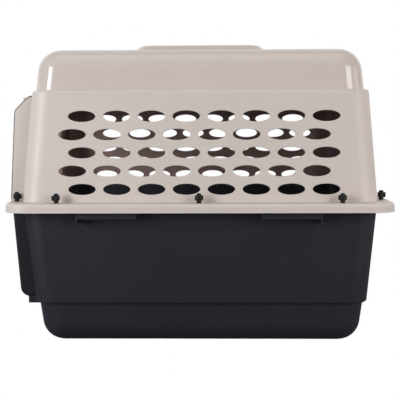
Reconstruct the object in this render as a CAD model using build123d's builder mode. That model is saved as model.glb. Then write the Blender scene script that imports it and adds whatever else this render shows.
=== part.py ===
from build123d import *
import os
from math import cos, radians, sin, tan

# Two-part moulded kennel for carrying a pet: a bottom shell, a top shell held
# down by ten thumb nuts, and a wire door in a raised surround at one end.
# Millimetres. -X is the door end, +X the rear, +Z up, the floor is at Z = 0.

# Driving dimensions of the shells
WALL = 3.0
RIM_HALF_X = 355.5
RIM_HALF_Y = 260.5
RIM_RADIUS = 48.0
RIM_TOP = 269.0
RIM_LIP_LOW = 252.2
RIM_EDGE_ROUND = 7.0
RIM_BEAD = 0.9
RIM_BEAD_HEIGHT = 2.8
RIM_BEAD_ROUND = 0.8
SPLIT_Z = 264.0
SPLIT_GAP = 0.3
FLANGE_THICK = 3.7
FLANGE_SIDE_GAP = 1.0
SKIRT_DEPTH = 5.0

# Walls of both shells: widest at one height by the rim, leaning inwards above and below it
WIDEST_Z = 268.0
BODY_DOOR_X = -327.9
BODY_REAR_X = 328.0
BODY_HALF_Y = 230.8
BODY_RADIUS = 38.0
TOP_DRAFT_DOOR = tan(radians(5.3))
TOP_DRAFT_REAR = tan(radians(4.6))
TOP_DRAFT_SIDE = tan(radians(4.1))
BASE_DRAFT_DOOR = tan(radians(5.1))
BASE_DRAFT_REAR = tan(radians(4.3))
BASE_DRAFT_SIDE = tan(radians(4.8))

TOP_STEP_Z = 472.0
STEP_WIDTH = 7.6
TOP_STEP_ROUND = 5.5
STEP_OVERLAP = 6.0
CROWN_HALF_X = 306.8
CROWN_RADIUS = 46.0
ROOF_Z = 548.0
ROOF_DRAFT = tan(radians(6.5))
ROOF_ROUND = 43.0
PAD_HEIGHT = 13.2
PAD_HALF_X = 134.6
PAD_HALF_Y = 130.0
PAD_SLOPE = 17.0
PAD_RADIUS = 30.0
PAD_EDGE_ROUND = 3.0

BASE_STEP_Z = 78.5
BASE_STEP_ROUND = 4.0
FOOT_DOOR_X = -308.3
FOOT_REAR_X = 310.5
FOOT_RADIUS = 46.0
FOOT_DRAFT = tan(radians(7.0))
FOOT_ROUND = 40.0
FLOOR_PAD_HALF_X = 205.0
FLOOR_PAD_HALF_Y = 112.0
FLOOR_PAD_RISE = 5.0
FLOOR_PAD_SLOPE = 5.0
FLOOR_PAD_ROUND = 2.0
FLOOR_PAD_RADIUS = 40.0

# Ventilation: staggered rows of oval slots
VENT_HALF_LENGTH = 24.75
VENT_HALF_HEIGHT = 10.0
VENT_PITCH = 63.1
VENT_ROW_PITCH = 32.95
VENT_LOW_ROW_Z = 292.6
VENT_ROWS = 5
VENT_STAGGER = 8.7
VENT_ROUND = 1.0
VENTS_PER_SIDE_ROW = 8
VENTS_PER_REAR_ROW = 5
VENT_CUT_DEPTH = 50.0
VENT_PLANE_INSET = 32.0

# Door surround and door opening
SURROUND_HALF_Y = 190.0
SURROUND_ROUND = 4.0
SURROUND_BACK_X = -280.0
SURROUND_FRONT_X = -353.5
SURROUND_TOP_X = -342.8
SURROUND_TOP_Z = 463.5
SURROUND_BEVEL = 27.0
SURROUND_BEVEL_ROUND = 14.0
SURROUND_LOW_FRONT_X = -350.6
SURROUND_LOW_X = -337.3
SURROUND_LOW_Z = 87.4
SURROUND_LOW_ROUND = 18.0
PIN_CAP_R = 3.9
PIN_CAP_LOW_Z = 442.0
PIN_CAP_HIGH_Z = 461.3
TOE_BLOCK_X = -333.7
TOE_BLOCK_LOW_Z = 66.5
TOE_BLOCK_HIGH_Z = 90.0
TOE_BLOCK_HALF_Y = 150.0
TOE_BLOCK_ROUND = 3.0
TOE_POCKET_BACK_X = -302.0
OPENING_HALF_Y = 162.0
OPENING_LOW_Z = 112.0
OPENING_HIGH_Z = 430.0
OPENING_BACK_X = -279.5
JAMB_BACK_X = -316.0

# Bolts and thumb nuts along the rim
SIDE_BOLT_X = 256.2
SIDE_BOLT_Y = 245.5
FRONT_BOLT_X = 337.0
FRONT_BOLT_Y = 205.0
REAR_BOLT_X = 338.0
REAR_BOLT_Y = 180.0
BOLT_R = 3.0
BOLT_HOLE_R = 3.5
BOLT_HEAD_R = 5.3
BOLT_HEAD_HEIGHT = 3.6
BOLT_HEAD_ROUND = 1.5
BOLT_HEAD_GAP = 0.5
BOLT_TIP_CHAMFER = 0.6
BOLT_TOP_Z = RIM_TOP + 13.0
BOSS_R = 9.0
BOSS_LOW_Z = 251.6
NUT_BORE_R = 3.06
NUT_HUB_R = 4.5
NUT_DOME_ROUND = 3.15
NUT_HEIGHT = 17.8
NUT_BORE_DEPTH = 13.6
NUT_LOBE_R = 3.4
NUT_LOBE_CENTRE = 5.0
NUT_LOBE_LOW = 4.3
NUT_LOBE_HIGH = 13.6
NUT_LOBE_ROUND = 1.1
NUT_COLLAR = 0.6
NUT_LIFT = 0.3

# Hand grips under the rim
GRIP_INNER_X = 112.2
GRIP_OUTER_X = 220.8
GRIP_Y = 250.5
GRIP_THICK = 3.0
GRIP_LOW_Z = 240.6
GUSSET_LOW_Z = 232.0
GUSSET_THICK = 2.5
GRIP_CORNER_ROUND = 1.0
GRIP_OVERLAP = 1.0

# Door: welded wire, hinge rod on the +Y side, latch on the -Y side
DOOR_X = -331.0
DOOR_LATCH_Y = -138.0
DOOR_HINGE_Y = 146.0
DOOR_LOW_Z = 122.0
DOOR_HIGH_Z = 420.0
DOOR_CORNER = 12.0
FRAME_R = 2.5
WIRE_R = 1.7
CROSS_R = 2.0
WELD = 0.3
VERTICAL_WIRES = 10
CROSS_WIRES = 5
WIRE_END_CHAMFER = 0.4
HINGE_ROD_R = 3.0
HINGE_HOLE_R = 3.08
HINGE_ROD_Y = DOOR_HINGE_Y + FRAME_R + HINGE_ROD_R - WELD
HINGE_ROD_LOW_Z = 101.0
HINGE_ROD_HIGH_Z = 438.0
ROD_END_ROUND = 1.0

# Squeeze latch on the door, modelled squeezed: the rods stand clear of the keepers
LATCH_Z = 271.0
LATCH_Y = -149.0
LATCH_ROD_R = 2.5
LATCH_GUIDE_R = 2.58
KEEPER_R = 3.4
LATCH_ROD_INNER = 6.0
LATCH_ROD_OUTER = 156.0
HOUSING_HALF_Z = 46.0
HOUSING_LOW_Y = -157.5
HOUSING_HIGH_Y = -112.0
HOUSING_FRONT_X = -341.0
HOUSING_BACK_X = -321.0
HOUSING_WALL = 2.5
HOUSING_END_WALL = 5.0
HOUSING_RIB = 2.0
CROSS_WAY_GAP = 0.1
POCKET_BACK_X = -324.0
POCKET_HIGH_Y = -123.0
HOUSING_CORNER = 6.0
COVER_THICK = 2.5
COVER_EDGE_ROUND = 1.2
WINDOW_INNER = 14.0
WINDOW_OUTER = 40.0
WINDOW_SIDE_INSET = 3.5
TAB_INNER = 16.0
TAB_HEIGHT = 12.0
TAB_FRONT_X = -347.5
TAB_BACK_X = -324.4
TAB_LOW_Y = -154.2
TAB_HIGH_Y = -124.0
TAB_COVER_GAP = 0.4
TAB_BAR_GAP = 0.6
LUG_END_INSET = 2.0
LUG_SIDE_INSET = 4.5
LUG_EDGE_ROUND = 1.5
FIT_GAP = 0.02
SPRING_R = 4.0
SPRING_WIRE_R = 0.5
SPRING_TURNS = 6
SPRING_SEAT_GAP = 0.2
GUIDE_PLATE_OFFSET = 135.0
GUIDE_PLATE_THICK = 3.0
GUIDE_PLATE_REACH = 5.5
GUIDE_PLATE_BACK = 5.0
GUIDE_PLATE_ROUND = 3.0

# How far a cutter runs past the surface it cuts
OVERSHOOT = 1.0

os.makedirs("parts", exist_ok=True)


def top_plan(z, inset=0.0):
    """Upper shell's main wall at a height: door end X, rear end X and half width."""
    rise = z - WIDEST_Z
    door_x = BODY_DOOR_X + rise * TOP_DRAFT_DOOR + inset
    rear_x = BODY_REAR_X - rise * TOP_DRAFT_REAR - inset
    return door_x, rear_x, BODY_HALF_Y - rise * TOP_DRAFT_SIDE - inset


def base_plan(z, inset=0.0):
    """Lower shell's main wall at a height: door end X, rear end X and half width."""
    drop = WIDEST_Z - z
    door_x = BODY_DOOR_X + drop * BASE_DRAFT_DOOR + inset
    rear_x = BODY_REAR_X - drop * BASE_DRAFT_REAR - inset
    return door_x, rear_x, BODY_HALF_Y - drop * BASE_DRAFT_SIDE - inset


def even_plan(half_x, half_y, inset=0.0):
    """Plan centred on the origin: door end X, rear end X and half width."""
    return -half_x + inset, half_x - inset, half_y - inset


def shrunk(plan, amount):
    """A plan drawn in on every side by one amount."""
    return plan[0] + amount, plan[1] - amount, plan[2] - amount


def tapered_block(low_z, high_z, low_plan, high_plan, radius, low_round=0.0, high_round=0.0):
    """Tapered block with rounded plan corners and, if asked, rounded rims."""
    with BuildPart() as block:
        for z, (door_x, rear_x, half_y) in ((low_z, low_plan), (high_z, high_plan)):
            with BuildSketch(Plane.XY.offset(z)):
                with Locations(((door_x + rear_x) / 2, 0)):
                    RectangleRounded(rear_x - door_x, 2 * half_y, radius)
        loft(ruled=True)
        if high_round:
            fillet(block.faces().sort_by(Axis.Z)[-1].edges(), high_round)
        if low_round:
            fillet(block.faces().sort_by(Axis.Z)[0].edges(), low_round)
    return block.part


def corner_box(low, high):
    """Box between two corners."""
    size = [b - a for a, b in zip(low, high)]
    with BuildPart(Plane(origin=low)) as box:
        Box(*size, align=(Align.MIN, Align.MIN, Align.MIN))
    return box.part


def upright_rod(x, y, low_z, high_z, radius):
    """Round rod standing along Z."""
    with BuildPart() as rod:
        with BuildSketch(Plane.XY.offset(low_z)):
            with Locations((x, y)):
                Circle(radius)
        extrude(amount=high_z - low_z)
    return rod.part


def bolt_places():
    """Positions of the ten fasteners, with the direction of one lobe of each nut."""
    near = [(-SIDE_BOLT_X, -SIDE_BOLT_Y, 180), (0.0, -SIDE_BOLT_Y, -90)]
    near.append((SIDE_BOLT_X, -SIDE_BOLT_Y, -90))
    far = [(-SIDE_BOLT_X, SIDE_BOLT_Y, 90), (0.0, SIDE_BOLT_Y, 60), (SIDE_BOLT_X, SIDE_BOLT_Y, 100)]
    front = [(-FRONT_BOLT_X, -FRONT_BOLT_Y, -95), (-FRONT_BOLT_X, FRONT_BOLT_Y, 140)]
    rear = [(REAR_BOLT_X, -REAR_BOLT_Y, 0), (REAR_BOLT_X, REAR_BOLT_Y, 25)]
    return near + far + front + rear


def surround_profile(inset, low, high):
    """Outline of the surround seen from the side, between the rim and its far end."""
    depth = SURROUND_HALF_Y - inset
    with BuildPart() as block:
        with BuildSketch(Plane.XZ.offset(-depth)):
            with BuildLine():
                Polyline(*low, *high, close=True)
            make_face()
        extrude(amount=2 * depth)
    return block.part


def upper_surround(inset):
    """Raised door surround above the rim; the inset form is its hollow."""
    front = SURROUND_FRONT_X + inset
    top_front = SURROUND_TOP_X + inset
    top = SURROUND_TOP_Z - inset
    bevel = SURROUND_BEVEL - 0.4 * inset
    low = [(SURROUND_BACK_X, SPLIT_Z), (front, SPLIT_Z)]
    high = [(top_front, top - bevel), (top_front + bevel, top), (SURROUND_BACK_X, top)]
    with BuildPart() as block:
        add(surround_profile(inset, low, high))
        bends = block.edges().filter_by(Axis.Y).filter_by(
            lambda e: e.center().X < SURROUND_BACK_X - 1 and e.center().Z > SPLIT_Z + 1
        )
        fillet(bends, SURROUND_BEVEL_ROUND - inset)
        sides = block.edges().filter_by(
            lambda e: abs(e.center().Y) > SURROUND_HALF_Y - inset - 1
            and e.center().Z > SPLIT_Z + 1
            and e.center().X < SURROUND_BACK_X - 1
        )
        fillet(sides, SURROUND_ROUND - inset)
    return block.part


def lower_surround(inset):
    """Raised door surround below the rim; the inset form is its hollow."""
    top = SPLIT_Z - SPLIT_GAP
    bottom = SURROUND_LOW_Z + inset
    low = [(SURROUND_BACK_X, top), (SURROUND_LOW_FRONT_X + inset, top)]
    high = [(SURROUND_LOW_X + inset, bottom), (SURROUND_BACK_X, bottom)]
    with BuildPart() as block:
        add(surround_profile(inset, low, high))
        toe = block.edges().filter_by(Axis.Y).filter_by(
            lambda e: e.center().X < SURROUND_BACK_X - 1 and e.center().Z < bottom + 1
        )
        fillet(toe, SURROUND_LOW_ROUND - inset)
        sides = block.edges().filter_by(
            lambda e: abs(e.center().Y) > SURROUND_HALF_Y - inset - 1
            and e.center().Z < top - 1
            and e.center().X < SURROUND_BACK_X - 1
        )
        fillet(sides, SURROUND_ROUND - inset)
    return block.part


def door_frame_box(margin, low_z, high_z):
    """Box filling the door opening plus a margin, through the front of a shell."""
    half = OPENING_HALF_Y + margin
    back = JAMB_BACK_X if margin else OPENING_BACK_X
    return corner_box((-RIM_HALF_X - OVERSHOOT, -half, low_z), (back, half, high_z))


def pin_caps():
    """Short round bosses on the surround's bevel, over the ends of the door's two pins."""
    with BuildPart() as caps:
        for y in (LATCH_Y, HINGE_ROD_Y):
            add(upright_rod(DOOR_X, y, PIN_CAP_LOW_Z, PIN_CAP_HIGH_Z, PIN_CAP_R))
        fillet(caps.faces().filter_by(Axis.Z).sort_by(Axis.Z)[-2:].edges(), ROD_END_ROUND)
    return caps.part


def vents(plane, count, stagger):
    """Cutter for one wall: staggered rows of oval slots drawn on the wall's plane."""
    with BuildPart() as cutter:
        for row in range(VENT_ROWS):
            shift = stagger if row % 2 == 0 else -stagger
            height = VENT_LOW_ROW_Z + row * VENT_ROW_PITCH
            with BuildSketch(plane):
                with Locations((shift, height)):
                    with GridLocations(VENT_PITCH, 1.0, count, 1):
                        Ellipse(VENT_HALF_LENGTH, VENT_HALF_HEIGHT)
        extrude(amount=VENT_CUT_DEPTH)
    return cutter.part


def bolt_holes(radius, low_z, high_z):
    """Ten round cutters or pillars along the rim."""
    with BuildPart() as holes:
        with BuildSketch(Plane.XY.offset(low_z)):
            with Locations(*[(x, y) for x, y, turn in bolt_places()]):
                Circle(radius)
        extrude(amount=high_z - low_z)
    return holes.part


def top_body(inset):
    """Upper shell without its rim: drafted wall, step, rounded roof and roof pad."""
    step = top_plan(TOP_STEP_Z, inset)
    crown = even_plan(CROWN_HALF_X, top_plan(TOP_STEP_Z)[2] - STEP_WIDTH, inset)
    eaves = shrunk(crown, (ROOF_Z - TOP_STEP_Z) * ROOF_DRAFT)
    wall_top = TOP_STEP_Z - inset
    wall = tapered_block(
        SPLIT_Z,
        wall_top,
        top_plan(SPLIT_Z, inset),
        step,
        BODY_RADIUS - inset,
        high_round=TOP_STEP_ROUND - inset / 2,
    )
    roof = tapered_block(
        wall_top - STEP_OVERLAP,
        ROOF_Z - inset,
        crown,
        eaves,
        CROWN_RADIUS - inset,
        high_round=ROOF_ROUND - inset,
    )
    pad_low = even_plan(PAD_HALF_X, PAD_HALF_Y, inset)
    pad = tapered_block(
        ROOF_Z - inset - OVERSHOOT,
        ROOF_Z + PAD_HEIGHT - inset,
        pad_low,
        shrunk(pad_low, PAD_SLOPE),
        PAD_RADIUS,
        high_round=PAD_EDGE_ROUND,
    )
    with BuildPart() as body:
        add(wall)
        add(roof)
        add(pad)
    return body.part


def base_body(inset):
    """Lower shell without its rim: drafted wall, step and rounded foot."""
    top = SPLIT_Z - SPLIT_GAP
    step_z = BASE_STEP_Z + inset
    foot_half_y = base_plan(BASE_STEP_Z)[2] - STEP_WIDTH
    foot_top = shrunk((FOOT_DOOR_X, FOOT_REAR_X, foot_half_y), inset)
    foot_low = shrunk(foot_top, BASE_STEP_Z * FOOT_DRAFT)
    wall = tapered_block(
        step_z,
        top,
        base_plan(BASE_STEP_Z, inset),
        base_plan(top, inset),
        BODY_RADIUS - inset,
        low_round=BASE_STEP_ROUND - inset / 2,
    )
    foot = tapered_block(
        inset, step_z + STEP_OVERLAP, foot_low, foot_top, FOOT_RADIUS - inset, low_round=FOOT_ROUND - inset
    )
    with BuildPart() as body:
        add(wall)
        add(foot)
    return body.part


def rim_plate(low_z, high_z, inset, low_round=0.0, high_round=0.0):
    """Flat plate with the rim's outline, drawn in from its edge by an inset."""
    plan = even_plan(RIM_HALF_X, RIM_HALF_Y, inset)
    return tapered_block(low_z, high_z, plan, plan, RIM_RADIUS - inset, low_round, high_round)


def rolled_rim():
    """Top shell's rim before it is hollowed: rolled upper edge and a bead round the lip's foot."""
    with BuildPart() as rim:
        add(rim_plate(RIM_LIP_LOW, RIM_TOP, RIM_BEAD, 0, RIM_EDGE_ROUND))
        add(rim_plate(RIM_LIP_LOW, RIM_LIP_LOW + RIM_BEAD_HEIGHT, 0, RIM_BEAD_ROUND, RIM_BEAD_ROUND))
    return rim.part


def round_vent_mouths(shell):
    """Outer edges of every vent given a small moulded radius."""
    with BuildPart() as rounded:
        add(shell)
        mouths = rounded.edges().filter_by(is_vent_mouth)
        fillet(mouths, VENT_ROUND)
    return rounded.part


def is_vent_mouth(edge):
    """Whether an edge is the outer rim of a vent: oval, and in the wall's outer face."""
    middle = edge.center()
    low = VENT_LOW_ROW_Z - 1.0
    high = VENT_LOW_ROW_Z + (VENT_ROWS - 1) * VENT_ROW_PITCH + 1.0
    if not (low < middle.Z < high and 4 * VENT_HALF_LENGTH < edge.length < 6 * VENT_HALF_LENGTH):
        return False
    door_x, rear_x, half_y = top_plan(middle.Z)
    return abs(abs(middle.Y) - half_y) < 1.0 or abs(middle.X - rear_x) < 1.0


def make_top_shell():
    """Upper shell: vented wall, roof, rim with a turned-down lip, upper half of the surround."""
    with BuildPart() as hollow:
        add(top_body(WALL))
        add(upper_surround(WALL))
        add(door_frame_box(WALL, SPLIT_Z - OVERSHOOT, OPENING_HIGH_Z + WALL), mode=Mode.SUBTRACT)
    rim_hollow = rim_plate(RIM_LIP_LOW, SPLIT_Z, WALL)
    opening = door_frame_box(0.0, RIM_LIP_LOW - OVERSHOOT, OPENING_HIGH_Z)
    side_y = BODY_HALF_Y - VENT_PLANE_INSET
    rear_x = BODY_REAR_X - VENT_PLANE_INSET
    side = vents(Plane.XZ.offset(side_y), VENTS_PER_SIDE_ROW, VENT_STAGGER)
    far_plane = Plane(origin=(0, side_y, 0), x_dir=(-1, 0, 0), z_dir=(0, 1, 0))
    far_side = vents(far_plane, VENTS_PER_SIDE_ROW, VENT_STAGGER)
    rear_plane = Plane(origin=(rear_x, 0, 0), x_dir=(0, 1, 0), z_dir=(1, 0, 0))
    rear = vents(rear_plane, VENTS_PER_REAR_ROW, -VENT_STAGGER)
    holes = bolt_holes(BOLT_HOLE_R, RIM_LIP_LOW, RIM_TOP + OVERSHOOT)
    hole_low = OPENING_HIGH_Z - OVERSHOOT
    hole_high = OPENING_HIGH_Z + WALL + OVERSHOOT
    keeper = upright_rod(DOOR_X, LATCH_Y, hole_low, hole_high, KEEPER_R)
    pivot = upright_rod(DOOR_X, HINGE_ROD_Y, hole_low, hole_high, HINGE_HOLE_R)
    with BuildPart() as top_shell:
        add(rolled_rim())
        add(rim_hollow, mode=Mode.SUBTRACT)
        add(top_body(0.0))
        add(upper_surround(0.0))
        add(pin_caps())
        add(hollow.part, mode=Mode.SUBTRACT)
        for cutter in (opening, side, far_side, rear, holes, keeper, pivot):
            add(cutter, mode=Mode.SUBTRACT)
    return round_vent_mouths(top_shell.part)


def hand_grips():
    """Turned-down finger ledges under the rim, two on each long side, with end gussets."""
    flange_low = SPLIT_Z - SPLIT_GAP - FLANGE_THICK
    high = flange_low + GRIP_OVERLAP
    wall_y = -base_plan(GUSSET_LOW_Z)[2] + GRIP_OVERLAP
    ledge = corner_box((GRIP_INNER_X, -GRIP_Y, GRIP_LOW_Z), (GRIP_OUTER_X, -GRIP_Y + GRIP_THICK, high))
    gusset = corner_box((GRIP_OUTER_X - GUSSET_THICK, -GRIP_Y, GUSSET_LOW_Z), (GRIP_OUTER_X, wall_y, high))
    inner_gusset = corner_box(
        (GRIP_INNER_X, -GRIP_Y, GRIP_LOW_Z), (GRIP_INNER_X + GUSSET_THICK, wall_y, high)
    )
    with BuildPart() as grips:
        add(ledge)
        add(gusset)
        add(inner_gusset)
        corners = grips.edges().filter_by(Axis.Z).filter_by(lambda e: e.center().Y < -GRIP_Y + 0.5)
        fillet(corners, GRIP_CORNER_ROUND)
        mirror(about=Plane.YZ)
        mirror(about=Plane.XZ)
    return grips.part


def floor_panel(low_z, high_z, inset, edge_round):
    """Low tapered block of the raised floor panel, drawn in by an inset."""
    plan = even_plan(FLOOR_PAD_HALF_X, FLOOR_PAD_HALF_Y, inset)
    return tapered_block(
        low_z,
        high_z,
        plan,
        shrunk(plan, FLOOR_PAD_SLOPE),
        FLOOR_PAD_RADIUS - inset,
        high_round=edge_round,
    )


def make_bottom_shell():
    """Lower shell: tub with a stepped foot, rim, bolt bosses, hand grips, lower half of the surround."""
    top = SPLIT_Z - SPLIT_GAP
    edge = WALL + FLANGE_SIDE_GAP
    flange_low = top - FLANGE_THICK
    toe_pocket = corner_box(
        (TOE_BLOCK_X + WALL, -TOE_BLOCK_HALF_Y + WALL, TOE_BLOCK_LOW_Z + WALL),
        (TOE_POCKET_BACK_X, TOE_BLOCK_HALF_Y - WALL, TOE_BLOCK_HIGH_Z + OVERSHOOT),
    )
    with BuildPart() as hollow:
        add(base_body(WALL))
        add(lower_surround(WALL))
        add(toe_pocket)
        add(door_frame_box(WALL, OPENING_LOW_Z - WALL, top + OVERSHOOT), mode=Mode.SUBTRACT)
        add(floor_panel(0.0, WALL + FLOOR_PAD_RISE, 0.0, FLOOR_PAD_ROUND), mode=Mode.SUBTRACT)
    with BuildPart() as toe_block:
        add(
            corner_box(
                (TOE_BLOCK_X, -TOE_BLOCK_HALF_Y, TOE_BLOCK_LOW_Z),
                (SURROUND_BACK_X, TOE_BLOCK_HALF_Y, TOE_BLOCK_HIGH_Z),
            )
        )
        fillet(toe_block.edges().filter_by(Axis.Z).sort_by(Axis.X)[:2], TOE_BLOCK_ROUND)
    under_recess = floor_panel(-OVERSHOOT, FLOOR_PAD_RISE, WALL, FLOOR_PAD_ROUND / 2)
    skirt_hollow = rim_plate(flange_low - SKIRT_DEPTH - OVERSHOOT, flange_low, edge + WALL)
    low_hole_z = BOSS_LOW_Z - OVERSHOOT
    holes = bolt_holes(BOLT_HOLE_R, low_hole_z, top + OVERSHOOT)
    head_pockets = bolt_holes(BOLT_HEAD_R + BOLT_HEAD_GAP, low_hole_z, flange_low)
    opening = door_frame_box(0.0, OPENING_LOW_Z, RIM_TOP)
    pin_low = OPENING_LOW_Z - WALL - OVERSHOOT
    pin_high = OPENING_LOW_Z + OVERSHOOT
    keeper = upright_rod(DOOR_X, LATCH_Y, pin_low, pin_high, KEEPER_R)
    pivot = upright_rod(DOOR_X, HINGE_ROD_Y, pin_low, pin_high, HINGE_HOLE_R)
    with BuildPart() as bottom_shell:
        add(rim_plate(flange_low - SKIRT_DEPTH, top, edge))
        add(skirt_hollow, mode=Mode.SUBTRACT)
        add(bolt_holes(BOSS_R, BOSS_LOW_Z, top))
        add(hand_grips())
        add(base_body(0.0))
        add(lower_surround(0.0))
        add(toe_block.part)
        add(hollow.part, mode=Mode.SUBTRACT)
        for cutter in (opening, under_recess, holes, head_pockets, keeper, pivot):
            add(cutter, mode=Mode.SUBTRACT)
    return bottom_shell.part


def make_bolts():
    """Ten identical flange bolts: a low domed head in each boss and a plain shank."""
    seat = SPLIT_Z - SPLIT_GAP - FLANGE_THICK
    with BuildPart() as bolts:
        for x, y, turn in bolt_places():
            with BuildSketch(Plane.XY.offset(seat)):
                with Locations((x, y)):
                    Circle(BOLT_HEAD_R)
            extrude(amount=-BOLT_HEAD_HEIGHT)
            with BuildSketch(Plane.XY.offset(seat - OVERSHOOT)):
                with Locations((x, y)):
                    Circle(BOLT_R)
            extrude(amount=BOLT_TOP_Z - seat + OVERSHOOT)
        crowns = bolts.faces().filter_by(Axis.Z).filter_by(
            lambda f: f.center().Z < seat - BOLT_HEAD_HEIGHT / 2
        )
        fillet(crowns.edges(), BOLT_HEAD_ROUND)
        tips = bolts.faces().filter_by(Axis.Z).filter_by(lambda f: f.center().Z > RIM_TOP)
        chamfer(tips.edges(), BOLT_TIP_CHAMFER)
    return bolts.part


def make_thumb_nut(x, y, turn):
    """Three-lobed thumb nut with a domed top and a blind bore."""
    lobe = (cos(radians(turn)), sin(radians(turn)), 0)
    base = Plane(origin=(x, y, RIM_TOP + NUT_LIFT), x_dir=lobe, z_dir=(0, 0, 1))
    with BuildPart() as nut:
        with BuildSketch(base):
            Circle(NUT_HUB_R)
        extrude(amount=NUT_HEIGHT - NUT_LIFT)
        fillet(nut.faces().sort_by(Axis.Z)[-1].edges(), NUT_DOME_ROUND)
        with BuildSketch(base.offset(NUT_LOBE_LOW)):
            with PolarLocations(NUT_LOBE_CENTRE, 3):
                Circle(NUT_LOBE_R)
            Circle(NUT_HUB_R + NUT_COLLAR)
        extrude(amount=NUT_LOBE_HIGH - NUT_LOBE_LOW)
        grip_faces = nut.faces().filter_by(Axis.Z).filter_by(
            lambda f: NUT_LOBE_LOW - 1 < f.center().Z - RIM_TOP < NUT_LOBE_HIGH + 1
        )
        outline = grip_faces.edges().filter_by(
            lambda e: (e.center() - Vector(x, y, e.center().Z)).length > NUT_HUB_R + NUT_COLLAR + 0.1
        )
        fillet(outline, NUT_LOBE_ROUND)
        with BuildSketch(base):
            Circle(NUT_BORE_R)
        extrude(amount=NUT_BORE_DEPTH, mode=Mode.SUBTRACT)
    return nut.part


def make_door_frame():
    """Closed loop of heavy wire around the door."""
    half_width = (DOOR_HINGE_Y - DOOR_LATCH_Y) / 2
    half_height = (DOOR_HIGH_Z - DOOR_LOW_Z) / 2
    middle = Plane(
        origin=(DOOR_X, DOOR_LATCH_Y + half_width, DOOR_LOW_Z + half_height),
        x_dir=(0, 1, 0),
        z_dir=(1, 0, 0),
    )
    corners = [(half_width, half_height), (half_width, -half_height)]
    corners += [(-half_width, -half_height), (-half_width, half_height)]
    with BuildPart() as frame:
        with BuildLine(middle) as loop:
            FilletPolyline(*corners, radius=DOOR_CORNER, close=True)
        with BuildSketch(Plane(origin=loop.wire() @ 0, z_dir=loop.wire() % 0)):
            Circle(FRAME_R)
        sweep(path=loop.wire())
    return frame.part


def make_vertical_wires():
    """Straight upright wires welded behind the frame's top and bottom bars."""
    plane_x = DOOR_X + FRAME_R + WIRE_R - WELD
    step = (DOOR_HINGE_Y - DOOR_LATCH_Y) / (VERTICAL_WIRES + 1)
    with BuildPart() as wires:
        with BuildSketch(Plane.XY.offset(DOOR_LOW_Z - FRAME_R)):
            for i in range(VERTICAL_WIRES):
                with Locations((plane_x, DOOR_LATCH_Y + step * (i + 1))):
                    Circle(WIRE_R)
        extrude(amount=DOOR_HIGH_Z - DOOR_LOW_Z + 2 * FRAME_R)
        chamfer(wires.faces().filter_by(Axis.Z).edges(), WIRE_END_CHAMFER)
    return wires.part


def make_cross_wires():
    """Level wires from the latch side bar to the hinge rod, welded to the upright wires."""
    plane_x = DOOR_X + FRAME_R + 2 * WIRE_R - 2 * WELD + CROSS_R
    low_y = DOOR_LATCH_Y - FRAME_R
    step = (DOOR_HIGH_Z - DOOR_LOW_Z) / (CROSS_WIRES + 1)
    with BuildPart() as wires:
        with BuildSketch(Plane.XZ.offset(-low_y)):
            for i in range(CROSS_WIRES):
                with Locations((plane_x, DOOR_LOW_Z + step * (i + 1))):
                    Circle(CROSS_R)
        extrude(amount=-(DOOR_HINGE_Y + FRAME_R - low_y))
        chamfer(wires.faces().filter_by(Axis.Y).edges(), WIRE_END_CHAMFER)
    return wires.part


def make_hinge_rod():
    """Upright pivot rod welded along the frame's hinge side, its ends in the jambs."""
    with BuildPart() as rod:
        add(upright_rod(DOOR_X, HINGE_ROD_Y, HINGE_ROD_LOW_Z, HINGE_ROD_HIGH_Z, HINGE_ROD_R))
        fillet(rod.edges().filter_by(GeomType.CIRCLE), ROD_END_ROUND)
    return rod.part


def make_latch_housing():
    """Open-fronted latch box clipped round the door's side bar, with a centre rib."""
    low_z = LATCH_Z - HOUSING_HALF_Z
    high_z = LATCH_Z + HOUSING_HALF_Z
    pocket_low_y = HOUSING_LOW_Y + HOUSING_WALL
    pocket_end = HOUSING_HALF_Z - HOUSING_END_WALL
    cut_low, cut_high = low_z - OVERSHOOT, high_z + OVERSHOOT
    side_bar = upright_rod(DOOR_X, DOOR_LATCH_Y, cut_low, cut_high, FRAME_R + FIT_GAP)
    rod_way = upright_rod(DOOR_X, LATCH_Y, cut_low, cut_high, LATCH_GUIDE_R)
    step = (DOOR_HINGE_Y - DOOR_LATCH_Y) / (VERTICAL_WIRES + 1)
    wire_x = DOOR_X + FRAME_R + WIRE_R - WELD
    wire_way = upright_rod(wire_x, DOOR_LATCH_Y + step, cut_low, cut_high, WIRE_R + FIT_GAP)
    cross_x = wire_x + WIRE_R + CROSS_R - WELD
    with BuildPart() as cross_way:
        with BuildSketch(Plane.XZ.offset(-HOUSING_LOW_Y + OVERSHOOT)):
            with Locations((cross_x, LATCH_Z)):
                Rectangle(2 * CROSS_R + CROSS_WAY_GAP, 2 * CROSS_R + CROSS_WAY_GAP)
        extrude(amount=HOUSING_LOW_Y - HOUSING_HIGH_Y - 2 * OVERSHOOT)
    with BuildPart() as housing:
        add(corner_box((HOUSING_FRONT_X, HOUSING_LOW_Y, low_z), (HOUSING_BACK_X, HOUSING_HIGH_Y, high_z)))
        fillet(housing.edges().filter_by(Axis.X), HOUSING_CORNER)
        for sign in (-1, 1):
            near, away = sorted((LATCH_Z + sign * HOUSING_RIB, LATCH_Z + sign * pocket_end))
            pocket = corner_box(
                (HOUSING_FRONT_X - OVERSHOOT, pocket_low_y, near), (POCKET_BACK_X, POCKET_HIGH_Y, away)
            )
            add(pocket, mode=Mode.SUBTRACT)
        for cutter in (side_bar, rod_way, wire_way, cross_way.part):
            add(cutter, mode=Mode.SUBTRACT)
    return housing.part


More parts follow.
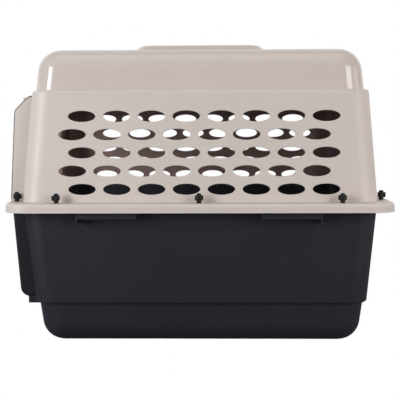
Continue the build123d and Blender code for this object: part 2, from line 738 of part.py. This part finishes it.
def make_latch_cover():
    """Front plate of the latch with the window that the thumb tabs slide in."""
    low_z = LATCH_Z - HOUSING_HALF_Z
    high_z = LATCH_Z + HOUSING_HALF_Z
    with BuildPart() as cover:
        add(
            corner_box(
                (HOUSING_FRONT_X - COVER_THICK, HOUSING_LOW_Y, low_z),
                (HOUSING_FRONT_X, HOUSING_HIGH_Y, high_z),
            )
        )
        fillet(cover.edges().filter_by(Axis.X), HOUSING_CORNER)
        fillet(cover.faces().sort_by(Axis.X)[0].edges(), COVER_EDGE_ROUND)
        for sign in (-1, 1):
            near, away = sorted((LATCH_Z + sign * WINDOW_INNER, LATCH_Z + sign * WINDOW_OUTER))
            window = corner_box(
                (HOUSING_FRONT_X - COVER_THICK - OVERSHOOT, TAB_LOW_Y + WINDOW_SIDE_INSET, near),
                (HOUSING_FRONT_X + OVERSHOOT, TAB_HIGH_Y - WINDOW_SIDE_INSET, away),
            )
            add(window, mode=Mode.SUBTRACT)
    return cover.part


def make_latch_rod(sign):
    """Sliding latch rod; its outer end reaches into the keeper when let go."""
    low_z, high_z = sorted((LATCH_Z + sign * LATCH_ROD_INNER, LATCH_Z + sign * LATCH_ROD_OUTER))
    with BuildPart() as rod:
        add(upright_rod(DOOR_X, LATCH_Y, low_z, high_z, LATCH_ROD_R))
        fillet(rod.edges().filter_by(GeomType.CIRCLE), ROD_END_ROUND)
    return rod.part


def make_latch_tab(sign):
    """Thumb tab fixed on a latch rod, with a lug standing out through the window."""
    low_z, high_z = sorted((LATCH_Z + sign * TAB_INNER, LATCH_Z + sign * (TAB_INNER + TAB_HEIGHT)))
    slot_edge = FRAME_R + TAB_BAR_GAP
    bar_slot = corner_box(
        (DOOR_X - slot_edge, DOOR_LATCH_Y - slot_edge, low_z - OVERSHOOT),
        (HOUSING_BACK_X, TAB_HIGH_Y + OVERSHOOT, high_z + OVERSHOOT),
    )
    rod_way = upright_rod(DOOR_X, LATCH_Y, low_z - OVERSHOOT, high_z + OVERSHOOT, LATCH_ROD_R + FIT_GAP)
    with BuildPart() as tab:
        add(
            corner_box((HOUSING_FRONT_X + TAB_COVER_GAP, TAB_LOW_Y, low_z), (TAB_BACK_X, TAB_HIGH_Y, high_z))
        )
        add(bar_slot, mode=Mode.SUBTRACT)
        add(
            corner_box(
                (TAB_FRONT_X, TAB_LOW_Y + LUG_SIDE_INSET, low_z + LUG_END_INSET),
                (HOUSING_FRONT_X + OVERSHOOT, TAB_HIGH_Y - LUG_SIDE_INSET, high_z - LUG_END_INSET),
            )
        )
        fillet(tab.faces().sort_by(Axis.X)[0].edges(), LUG_EDGE_ROUND)
        add(rod_way, mode=Mode.SUBTRACT)
    return tab.part


def make_latch_spring(sign):
    """Compression spring round the latch rod, between the centre rib and the tab."""
    seat = LATCH_Z + sign * (HOUSING_RIB + SPRING_WIRE_R + SPRING_SEAT_GAP)
    length = TAB_INNER - HOUSING_RIB - 2 * SPRING_WIRE_R - 2 * SPRING_SEAT_GAP
    with BuildPart() as spring:
        with BuildLine() as coil:
            Helix(
                pitch=length / SPRING_TURNS,
                height=length,
                radius=SPRING_R,
                center=(DOOR_X, LATCH_Y, seat),
                direction=(0, 0, sign),
            )
        with BuildSketch(Plane(origin=coil.line @ 0, z_dir=coil.line % 0)):
            Circle(SPRING_WIRE_R)
        sweep(path=coil.line, is_frenet=True)
    return spring.part


def make_rod_guide(sign):
    """Small plate welded to the door's side bar that steadies a latch rod."""
    low_z, high_z = sorted(
        (LATCH_Z + sign * (GUIDE_PLATE_OFFSET - GUIDE_PLATE_THICK), LATCH_Z + sign * GUIDE_PLATE_OFFSET)
    )
    with BuildPart() as plate:
        add(
            corner_box(
                (DOOR_X - GUIDE_PLATE_REACH, LATCH_Y - GUIDE_PLATE_REACH, low_z),
                (DOOR_X + GUIDE_PLATE_REACH, DOOR_LATCH_Y + GUIDE_PLATE_BACK, high_z),
            )
        )
        fillet(plate.edges().filter_by(Axis.Z), GUIDE_PLATE_ROUND)
        for y, radius in ((LATCH_Y, LATCH_GUIDE_R), (DOOR_LATCH_Y, FRAME_R + FIT_GAP)):
            way = upright_rod(DOOR_X, y, low_z - OVERSHOOT, high_z + OVERSHOOT, radius)
            add(way, mode=Mode.SUBTRACT)
    return plate.part


def write(name, part):
    """Label a finished piece and write it as its own file."""
    part.label = name
    export_step(part, f"parts/{name}.step")


write("bottom_shell", make_bottom_shell())
write("top_shell", make_top_shell())
write("rim_bolts", make_bolts())
for number, place in enumerate(bolt_places(), start=1):
    write(f"thumb_nut_{number:02d}", make_thumb_nut(*place))
write("door_frame", make_door_frame())
write("door_upright_wires", make_vertical_wires())
write("door_cross_wires", make_cross_wires())
write("door_hinge_rod", make_hinge_rod())
write("latch_housing", make_latch_housing())
write("latch_cover", make_latch_cover())
for side_name, sign in (("upper", 1), ("lower", -1)):
    write(f"latch_rod_{side_name}", make_latch_rod(sign))
    write(f"latch_tab_{side_name}", make_latch_tab(sign))
    write(f"latch_spring_{side_name}", make_latch_spring(sign))
    write(f"rod_guide_{side_name}", make_rod_guide(sign))
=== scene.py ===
from math import cos, radians, sin

import bpy
from mathutils import Matrix, Vector

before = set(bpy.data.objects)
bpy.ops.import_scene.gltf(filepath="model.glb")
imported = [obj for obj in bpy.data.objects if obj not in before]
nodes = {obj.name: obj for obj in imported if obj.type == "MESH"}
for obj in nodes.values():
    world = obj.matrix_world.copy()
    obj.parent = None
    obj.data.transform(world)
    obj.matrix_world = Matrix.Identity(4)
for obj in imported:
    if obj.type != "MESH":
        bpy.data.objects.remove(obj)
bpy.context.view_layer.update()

# Lengths are in metres and angles in degrees. Colours are linear RGB; a pair of them holds the
# two shades that a moulding drifts between.

# Top shell: height of the step under its polished crown, and of its seat on the lower shell, below
# which the inner faces get a nearly black painted shade
CROWN_Z = 0.4722
SEAT_Z = 0.273
CROWN_STEP_SOFT = 0.001
SEAT_SOFT = 0.003

# Inner faces get painted shade. An inner face is told from an outer one by its direction against
# the line from the middle of the shell: the point is stretched and shifted first, and the range is
# where the painted shade comes in
INSIDE_STRETCH = (1.0, 1.0, 0.35)
INSIDE_SHIFT = (0.0, 0.0, -0.091)
INSIDE_RANGE = (-0.02, -0.06)

# Door surround, where painted shade goes, as distances from the middle line: all of it, and its
# rounded outer edge. Then the X it starts at, its heights in the upper and the lower shell, and how
# softly the painted shade ends
SURROUND_Y = (-1.0, 0.1905)
EDGE_BAND_Y = (0.1857, 0.18998)
SURROUND_BACK_X = -0.303
UPPER_EDGE_Z = (0.271, 0.4640)
LOWER_EDGE_Z = (0.0870, 0.2512)
SOFT_X, SOFT_Y, SOFT_Z = 0.003, 0.0002, 0.0008

TAUPE_TEXTURED = ((0.550, 0.490, 0.456), (0.574, 0.512, 0.476))
TAUPE_POLISHED = ((0.534, 0.470, 0.436), (0.556, 0.490, 0.454))
# Painted shade: a dark line on the taupe door surround's rounded outer edge, a darker brown on the
# taupe shell's inner faces, and nearly black on those inner faces below the seat
TAUPE_EDGE_SHADE = (0.155, 0.133, 0.124)
TAUPE_INSIDE_SHADE = (0.30, 0.200, 0.183)
SEAT_SHADE = (0.020, 0.017, 0.020)
NAVY = ((0.0148, 0.0150, 0.0232), (0.0172, 0.0174, 0.0262))
# Painted shade: the navy door surround, and a darker line on its rounded outer edge
NAVY_SURROUND_SHADE = (0.0065, 0.0065, 0.0110)
NAVY_EDGE_SHADE = (0.0015, 0.0015, 0.0020)
NUT_BLACK = (0.0050, 0.0040, 0.0050)
LATCH_BLACK = (0.014, 0.014, 0.016)
TAB_GREY = (0.035, 0.037, 0.042)
BRIGHT_WIRE = (0.62, 0.63, 0.65)
PLAIN_STEEL = (0.52, 0.53, 0.55)

# Lighter shade of a small black moulding and darker one of a drawn wire, as parts of its own
BLACK_LIGHTER = 1.35
WIRE_DARKER = 0.82

# Roughness of the shells from least to most, and what is added to that of the smaller pieces
TAUPE_SATIN = (0.46, 0.53)
TAUPE_POLISH = (0.10, 0.14)
NAVY_SATIN = (0.44, 0.52)
BLACK_SPREAD = (-0.04, 0.05)
WIRE_SPREAD = (0.0, 0.12)

# Roughness added to the polish where the roof lies level, and the upward part of the surface's
# direction over which it comes in
ROOF_DULLING = 0.34
ROOF_LEVEL = (0.93, 0.99)

# Relief of the taupe shell's slow waves against that of its grain
WAVE_SHARE = 0.6

# Part of a noise's 0 to 1 that holds nearly all of its values
NOISE_SPAN = (0.3, 0.7)

# Grey of the floor as it lights the object; the camera sees it white
FLOOR_GREY = 0.25
FLOOR_REACH = 12.0

# Strength of the surroundings before and behind the object, the rearward part of a direction
# over which one passes into the other, and the strength of the backdrop
AMBIENT_FRONT = 0.24
AMBIENT_REAR = 1.2
REARWARD = (0.1, 1.0)
BACKDROP = 1.0

LAMP_TARGET = (0, 0, 0.3)
COOL_WHITE = (0.975, 0.995, 1.0)
WARM_WHITE = (1.0, 0.965, 0.94)
PLAIN_WHITE = (1.0, 0.995, 0.99)

# Camera; lens and sensor in millimetres
CAMERA_PLACE = (0.0284, -1.626, 0.4025)
CAMERA_YAW, CAMERA_PITCH, CAMERA_ROLL = -1.10, -5.285, -0.20
CAMERA_LENS = 69.84
CAMERA_SENSOR = 36.0
CAMERA_FAR = 50.0


# ---------------------------------------------------------------- nodes


def new_material(name):
    """A node material, its tree and its Principled shader."""
    material = bpy.data.materials.new(name)
    material.use_nodes = True
    tree = material.node_tree
    return material, tree, tree.nodes["Principled BSDF"]


def node(tree, kind, **inputs):
    """A shader node with some of its inputs set by name."""
    made = tree.nodes.new(kind)
    for name, value in inputs.items():
        made.inputs[name.replace("_", " ")].default_value = value
    return made


def object_point(tree):
    """Object coordinates, which are the frame's metres on every CAD node."""
    return tree.nodes.new("ShaderNodeTexCoord").outputs["Object"]


def surface_normal(tree):
    """The surface's direction in the frame's axes."""
    return tree.nodes.new("ShaderNodeTexCoord").outputs["Normal"]


def parts_of(tree, vector):
    """The X, Y and Z outputs of a vector."""
    split = tree.nodes.new("ShaderNodeSeparateXYZ")
    tree.links.new(vector, split.inputs["Vector"])
    return split.outputs


def noise(tree, point, scale, detail=2.0, roughness=0.5):
    """Fractal noise read at a point, as a 0 to 1 factor."""
    made = node(tree, "ShaderNodeTexNoise", Scale=scale, Detail=detail, Roughness=roughness)
    tree.links.new(point, made.inputs["Vector"])
    return made.outputs["Fac"]


def remap(tree, value, low, high, to_low, to_high, smooth=False):
    """A value moved from one range to another and held inside it."""
    made = tree.nodes.new("ShaderNodeMapRange")
    made.interpolation_type = "SMOOTHSTEP" if smooth else "LINEAR"
    sockets = ("From Min", "From Max", "To Min", "To Max")
    for name, number in zip(sockets, (low, high, to_low, to_high)):
        made.inputs[name].default_value = number
    tree.links.new(value, made.inputs["Value"])
    return made.outputs["Result"]


def ramp(tree, value, start, end, top=1.0):
    """0 up to the start, rising smoothly to the top at the end; the end may be the lower number."""
    return remap(tree, value, start, end, 0, top, smooth=True)


def mottle(tree, point, scale, detail, low=0.0, high=1.0):
    """Noise stretched so that it wanders between two numbers."""
    return remap(tree, noise(tree, point, scale, detail), *NOISE_SPAN, low, high)


def mix_colour(tree, factor, first, second):
    """A colour between two, by a factor from another node."""
    made = tree.nodes.new("ShaderNodeMix")
    made.data_type = "RGBA"
    tree.links.new(factor, made.inputs["Factor"])
    for socket, colour in (("A", first), ("B", second)):
        target = [s for s in made.inputs if s.name == socket and s.type == "RGBA"][0]
        if isinstance(colour, bpy.types.NodeSocket):
            tree.links.new(colour, target)
        else:
            target.default_value = (*colour, 1.0)
    return [s for s in made.outputs if s.type == "RGBA"][0]


def math_node(tree, operation, first, second):
    """One arithmetic step on two values or sockets."""
    made = tree.nodes.new("ShaderNodeMath")
    made.operation = operation
    for socket, value in zip(made.inputs, (first, second)):
        if isinstance(value, bpy.types.NodeSocket):
            tree.links.new(value, socket)
        else:
            socket.default_value = value
    return made.outputs["Value"]


def bump(tree, shader, height, depth):
    """Surface relief of a given depth."""
    made = node(tree, "ShaderNodeBump", Strength=1.0, Distance=depth)
    tree.links.new(height, made.inputs["Height"])
    tree.links.new(made.outputs["Normal"], shader.inputs["Normal"])


def for_camera(tree, real, seen, output):
    """Surface or surroundings that light the object one way and look another way to the camera."""
    path = tree.nodes.new("ShaderNodeLightPath")
    mix = tree.nodes.new("ShaderNodeMixShader")
    tree.links.new(path.outputs["Is Camera Ray"], mix.inputs[0])
    tree.links.new(real.outputs[0], mix.inputs[1])
    tree.links.new(seen.outputs[0], mix.inputs[2])
    tree.links.new(mix.outputs[0], output.inputs["Surface"])


# ---------------------------------------------------------------- masks


def outward_part(tree, point):
    """How far the surface faces away from the middle of the shell; below zero on inner faces."""
    from_middle = tree.nodes.new("ShaderNodeVectorMath")
    from_middle.operation = "MULTIPLY_ADD"
    tree.links.new(point, from_middle.inputs[0])
    from_middle.inputs[1].default_value = INSIDE_STRETCH
    from_middle.inputs[2].default_value = INSIDE_SHIFT
    along = tree.nodes.new("ShaderNodeVectorMath")
    along.operation = "DOT_PRODUCT"
    tree.links.new(from_middle.outputs["Vector"], along.inputs[0])
    tree.links.new(surface_normal(tree), along.inputs[1])
    return along.outputs["Value"]


def between(tree, value, low, high, soft):
    """1 where a value lies between two numbers, falling to 0 over a soft margin inside each end."""
    rise = ramp(tree, value, low, low + soft)
    fall = ramp(tree, value, high, high - soft)
    return math_node(tree, "MULTIPLY", rise, fall)


def surround_part(tree, point, side_range, heights):
    """1 on the door surround where distance from the middle line and height are in range."""
    place = parts_of(tree, point)
    side = math_node(tree, "ABSOLUTE", place["Y"], 0.0)
    across = between(tree, side, *side_range, SOFT_Y)
    upright = between(tree, place["Z"], *heights, SOFT_Z)
    front = ramp(tree, place["X"], SURROUND_BACK_X, SURROUND_BACK_X - SOFT_X)
    return math_node(tree, "MULTIPLY", math_node(tree, "MULTIPLY", across, upright), front)


# ---------------------------------------------------------------- materials


def moulded_taupe():
    """Injection-moulded taupe plastic: polished above the step, finely textured below it."""
    material, tree, shader = new_material("taupe_plastic")
    point = object_point(tree)
    height = parts_of(tree, point)["Z"]
    above = ramp(tree, height, CROWN_Z - CROWN_STEP_SOFT, CROWN_Z + CROWN_STEP_SOFT)

    patches = mottle(tree, point, scale=9.0, detail=3.0)
    textured = mix_colour(tree, patches, *TAUPE_TEXTURED)
    crown = mix_colour(tree, patches, *TAUPE_POLISHED)
    base = mix_colour(tree, above, textured, crown)
    # Painted shade: a dark line along the door surround's rounded outer edge
    edge_shade = surround_part(tree, point, EDGE_BAND_Y, UPPER_EDGE_Z)
    outside = mix_colour(tree, edge_shade, base, TAUPE_EDGE_SHADE)
    # Painted shade on the inner faces, nearly black below the seat where the shells meet
    low = ramp(tree, height, SEAT_Z, SEAT_Z - SEAT_SOFT)
    inside = mix_colour(tree, low, TAUPE_INSIDE_SHADE, SEAT_SHADE)
    inner_shade_part = ramp(tree, outward_part(tree, point), *INSIDE_RANGE)
    colour = mix_colour(tree, inner_shade_part, outside, inside)
    tree.links.new(colour, shader.inputs["Base Color"])

    satin = mottle(tree, point, 60.0, 3.0, *TAUPE_SATIN)
    polished = mottle(tree, point, 25.0, 2.0, *TAUPE_POLISH)
    level = ramp(tree, parts_of(tree, surface_normal(tree))["Z"], *ROOF_LEVEL, ROOF_DULLING)
    drop = math_node(tree, "SUBTRACT", math_node(tree, "ADD", polished, level), satin)
    rough = math_node(tree, "ADD", satin, math_node(tree, "MULTIPLY", above, drop))
    tree.links.new(rough, shader.inputs["Roughness"])
    shader.inputs["IOR"].default_value = 1.5

    grain = noise(tree, point, scale=1400.0, detail=3.0, roughness=0.6)
    below = math_node(tree, "SUBTRACT", 1.0, above)
    fine = math_node(tree, "MULTIPLY", grain, below)
    waves = noise(tree, point, scale=14.0, detail=1.0)
    waviness = math_node(tree, "MULTIPLY", waves, WAVE_SHARE)
    bump(tree, shader, math_node(tree, "ADD", fine, waviness), depth=0.00004)
    return material


def moulded_navy():
    """Textured navy-black plastic of the lower shell, with painted shade on its door surround."""
    material, tree, shader = new_material("navy_plastic")
    point = object_point(tree)
    base = mix_colour(tree, mottle(tree, point, scale=7.0, detail=3.0), *NAVY)
    # Painted shade over the door surround
    surround_shade_part = surround_part(tree, point, SURROUND_Y, LOWER_EDGE_Z)
    shaded_panel = mix_colour(tree, surround_shade_part, base, NAVY_SURROUND_SHADE)
    # Painted shade: a darker line along the surround's rounded outer edge
    edge_shade = surround_part(tree, point, EDGE_BAND_Y, LOWER_EDGE_Z)
    tree.links.new(mix_colour(tree, edge_shade, shaded_panel, NAVY_EDGE_SHADE), shader.inputs["Base Color"])
    tree.links.new(mottle(tree, point, 90.0, 3.0, *NAVY_SATIN), shader.inputs["Roughness"])
    shader.inputs["IOR"].default_value = 1.46
    shader.inputs["Specular IOR Level"].default_value = 0.3
    grain = noise(tree, point, scale=1300.0, detail=3.0, roughness=0.6)
    bump(tree, shader, grain, depth=0.00005)
    return material


def black_plastic(name, shade, roughness, specular):
    """Small black or dark grey mouldings: nuts, latch box and tabs."""
    material, tree, shader = new_material(name)
    point = object_point(tree)
    lighter = tuple(BLACK_LIGHTER * c for c in shade)
    cloud = noise(tree, point, scale=120.0, detail=3.0)
    tree.links.new(mix_colour(tree, cloud, shade, lighter), shader.inputs["Base Color"])
    rough = mottle(tree, point, 200.0, 2.0, *(roughness + spread for spread in BLACK_SPREAD))
    tree.links.new(rough, shader.inputs["Roughness"])
    shader.inputs["Specular IOR Level"].default_value = specular
    bump(tree, shader, noise(tree, point, scale=1500.0, detail=3.0), depth=0.00002)
    return material


def plated_steel(name, shade, roughness, stretch):
    """Plated wire or rod: faint drawn lines along the axis with the smallest stretch."""
    material, tree, shader = new_material(name)
    mapping = tree.nodes.new("ShaderNodeMapping")
    mapping.inputs["Scale"].default_value = stretch
    tree.links.new(object_point(tree), mapping.inputs["Vector"])
    lines = noise(tree, mapping.outputs["Vector"], scale=900.0, detail=2.0)
    darker = tuple(WIRE_DARKER * c for c in shade)
    tree.links.new(mix_colour(tree, lines, darker, shade), shader.inputs["Base Color"])
    shader.inputs["Metallic"].default_value = 1.0
    rough = remap(tree, lines, *NOISE_SPAN, *(roughness + spread for spread in WIRE_SPREAD))
    tree.links.new(rough, shader.inputs["Roughness"])
    bump(tree, shader, lines, depth=0.00001)
    return material


def give(names, material):
    """Put one material on several CAD nodes."""
    for name in names:
        slots = nodes[name].data.materials
        slots.clear()
        slots.append(material)


taupe = moulded_taupe()
navy = moulded_navy()
nut_black = black_plastic("nut_plastic_black", NUT_BLACK, roughness=0.30, specular=0.22)
latch_black = black_plastic("latch_plastic_black", LATCH_BLACK, roughness=0.38, specular=0.5)
tab_grey = black_plastic("tab_plastic_grey", TAB_GREY, roughness=0.40, specular=0.5)
wire_bright = plated_steel("wire_bright", BRIGHT_WIRE, 0.18, stretch=(1, 1, 0.03))
cross_bright = plated_steel("cross_wire_bright", BRIGHT_WIRE, 0.18, stretch=(1, 0.03, 1))
steel_plain = plated_steel("steel_plated", PLAIN_STEEL, 0.26, stretch=(1, 1, 0.1))

give(["top_shell"], taupe)
give(["bottom_shell"], navy)
give([name for name in nodes if name.startswith("thumb_nut")], nut_black)
give(["rim_bolts", "latch_rod_upper", "latch_rod_lower"], steel_plain)
give(["rod_guide_upper", "rod_guide_lower"], steel_plain)
give(["latch_spring_upper", "latch_spring_lower"], steel_plain)
give(["door_frame", "door_upright_wires", "door_hinge_rod"], wire_bright)
give(["door_cross_wires"], cross_bright)
give(["latch_housing", "latch_cover"], latch_black)
give(["latch_tab_upper", "latch_tab_lower"], tab_grey)


# ---------------------------------------------------------------- stage


def make_floor():
    """Plain pale floor, far wider than the object, white as seen straight from the camera."""
    mesh = bpy.data.meshes.new("floor")
    signs = ((-1, -1), (1, -1), (1, 1), (-1, 1))
    corners = [(FLOOR_REACH * x, FLOOR_REACH * y, 0) for x, y in signs]
    mesh.from_pydata(corners, [], [(0, 1, 2, 3)])
    floor = bpy.data.objects.new("floor", mesh)
    bpy.context.scene.collection.objects.link(floor)
    material, tree, shader = new_material("floor_white")
    shader.inputs["Base Color"].default_value = (FLOOR_GREY, FLOOR_GREY, FLOOR_GREY, 1)
    shader.inputs["Roughness"].default_value = 0.9
    shader.inputs["Specular IOR Level"].default_value = 0.0
    seen = node(tree, "ShaderNodeEmission", Color=(1, 1, 1, 1), Strength=1.0)
    for_camera(tree, shader, seen, tree.nodes["Material Output"])
    mesh.materials.append(material)


def softbox(name, azimuth, elevation, distance, width, height, power, colour):
    """Area light aimed at the object; azimuth is from the camera's side (-Y) towards +X."""
    data = bpy.data.lights.new(name, "AREA")
    data.shape = "RECTANGLE"
    data.size = width
    data.size_y = height
    data.energy = power
    data.color = colour
    lamp = bpy.data.objects.new(name, data)
    bpy.context.scene.collection.objects.link(lamp)
    around, up = radians(azimuth), radians(elevation)
    away = Vector((cos(up) * sin(around), -cos(up) * cos(around), sin(up)))
    lamp.location = Vector(LAMP_TARGET) + distance * away
    lamp.rotation_euler = (-away).to_track_quat("-Z", "Y").to_euler()


def white_world():
    """Dim white surroundings, lighter behind, with a bright backdrop as seen by the camera."""
    world = bpy.data.worlds.new("studio")
    bpy.context.scene.world = world
    world.use_nodes = True
    tree = world.node_tree
    tree.nodes.clear()
    ambient = node(tree, "ShaderNodeBackground", Color=(1, 1, 1, 1))
    direction = tree.nodes.new("ShaderNodeTexCoord").outputs["Generated"]
    back = parts_of(tree, direction)["Y"]
    strength = remap(tree, back, *REARWARD, AMBIENT_FRONT, AMBIENT_REAR, smooth=True)
    tree.links.new(strength, ambient.inputs["Strength"])
    seen = node(tree, "ShaderNodeBackground", Color=(1, 1, 1, 1), Strength=BACKDROP)
    for_camera(tree, ambient, seen, tree.nodes.new("ShaderNodeOutputWorld"))


def make_camera():
    """Long-lens camera square to the near side, above the rim and looking slightly down."""
    data = bpy.data.cameras.new("camera")
    data.sensor_width = CAMERA_SENSOR
    data.lens = CAMERA_LENS
    data.clip_end = CAMERA_FAR
    camera = bpy.data.objects.new("camera", data)
    bpy.context.scene.collection.objects.link(camera)
    yaw, pitch, roll = radians(CAMERA_YAW), radians(CAMERA_PITCH), radians(CAMERA_ROLL)
    forward = Vector((sin(yaw) * cos(pitch), cos(yaw) * cos(pitch), sin(pitch)))
    turn = forward.to_track_quat("-Z", "Y").to_matrix().to_4x4()
    place = Matrix.Translation(CAMERA_PLACE)
    camera.matrix_world = place @ turn @ Matrix.Rotation(roll, 4, "Z")
    bpy.context.scene.camera = camera


make_floor()
white_world()
softbox("key_left", azimuth=-50, elevation=12, distance=2.6, width=0.66, height=1.3,
        power=47, colour=COOL_WHITE)
softbox("key_right", azimuth=47, elevation=12, distance=2.6, width=1.0, height=1.3,
        power=28, colour=WARM_WHITE)
softbox("fill_right", azimuth=80, elevation=8, distance=2.6, width=1.2, height=1.2,
        power=9, colour=WARM_WHITE)
softbox("overhead", azimuth=0, elevation=80, distance=2.4, width=2.0, height=1.6,
        power=10, colour=PLAIN_WHITE)
make_camera()

view = bpy.context.scene.view_settings
view.view_transform = "Standard"
view.look = "None"
